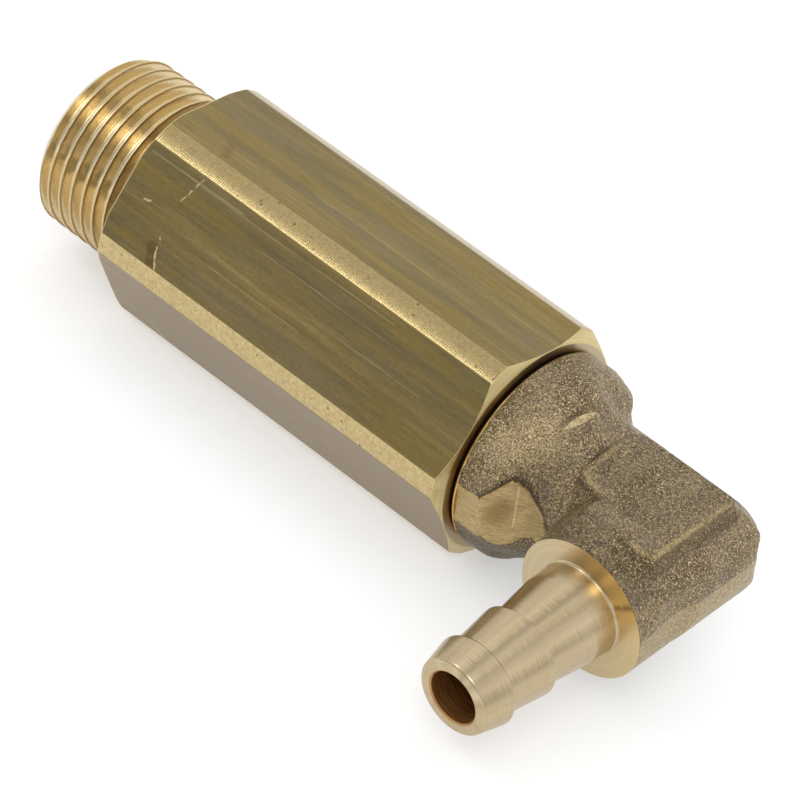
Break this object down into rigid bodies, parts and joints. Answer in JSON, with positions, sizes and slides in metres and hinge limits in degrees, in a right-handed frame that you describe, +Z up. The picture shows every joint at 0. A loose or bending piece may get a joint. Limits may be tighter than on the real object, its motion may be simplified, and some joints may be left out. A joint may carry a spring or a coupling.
{
  "type": "safety valve",
  "caption": "Angled brass safety valve: hexagonal body with a pipe-threaded inlet, a spring-loaded disc inside and a screwed-in elbow with a hose barb.",
  "frame": {"origin": "middle of the flat of the hexagonal body that the valve lies on", "axes": "+X along the valve from the threaded inlet to the elbow, +Z up from the resting flat, hose barb towards -Y and a little down"},
  "size_m": [0.0732, 0.0363, 0.02],
  "materials": {
    "drawn_brass": "drawn hexagon bar, lightly tarnished, turned at the corners and the thread",
    "forged_brass": "rough forging skin, with the barb and its shoulder turned bright",
    "turned_brass": "bright turned",
    "stainless": "turned stainless steel",
    "spring_steel": "drawn wire",
    "seal_rubber": "matt moulded",
    "ring_rubber": "matt moulded"
  },
  "bodies": {
    "body": {"valve_body": "drawn_brass"},
    "disc": {"disc_holder": "turned_brass", "seal_disc": "seal_rubber", "seal_washer": "stainless", "seal_screw": "stainless", "guide_stem": "stainless", "lower_spring_cup": "turned_brass"},
    "spring_cup": {"upper_spring_cup": "turned_brass", "valve_spring": "spring_steel"},
    "adjuster": {"adjusting_screw": "turned_brass", "lock_ring": "turned_brass"},
    "elbow_seal": {"elbow_o_ring": "ring_rubber"},
    "elbow": {"outlet_elbow": "forged_brass"}
  },
  "joints": [
    {"name": "disc_lift", "type": "slide", "parent": "body", "child": "disc", "axis": [1, 0, 0], "range_m": [0, 0.002], "stiffness_N_per_m": 3700, "springref_m": -0.004, "deforming": ["valve_spring"]},
    {"name": "spring_cup_travel", "type": "slide", "parent": "body", "child": "spring_cup", "axis": [1, 0, 0], "range_m": [-0.00134, 0.00134], "deforming": ["valve_spring"]},
    {"name": "adjuster_turn", "type": "hinge", "parent": "spring_cup", "child": "adjuster", "pos_m": [0.0066, 0, 0.01], "axis": [1, 0, 0], "range_deg": [-360, 360]},
    {"name": "elbow_ring_travel", "type": "slide", "parent": "body", "child": "elbow_seal", "axis": [1, 0, 0], "range_m": [0, 0.00134]},
    {"name": "elbow_turn", "type": "hinge", "parent": "elbow_seal", "child": "elbow", "pos_m": [0.02035, 0, 0.01], "axis": [1, 0, 0], "range_deg": [0, 360]}
  ],
  "couplings": [
    {"joint": "spring_cup_travel", "follows": "adjuster_turn", "m_per_rad": 0.00021279},
    {"joint": "elbow_ring_travel", "follows": "elbow_turn", "m_per_rad": 0.00021279}
  ]
}
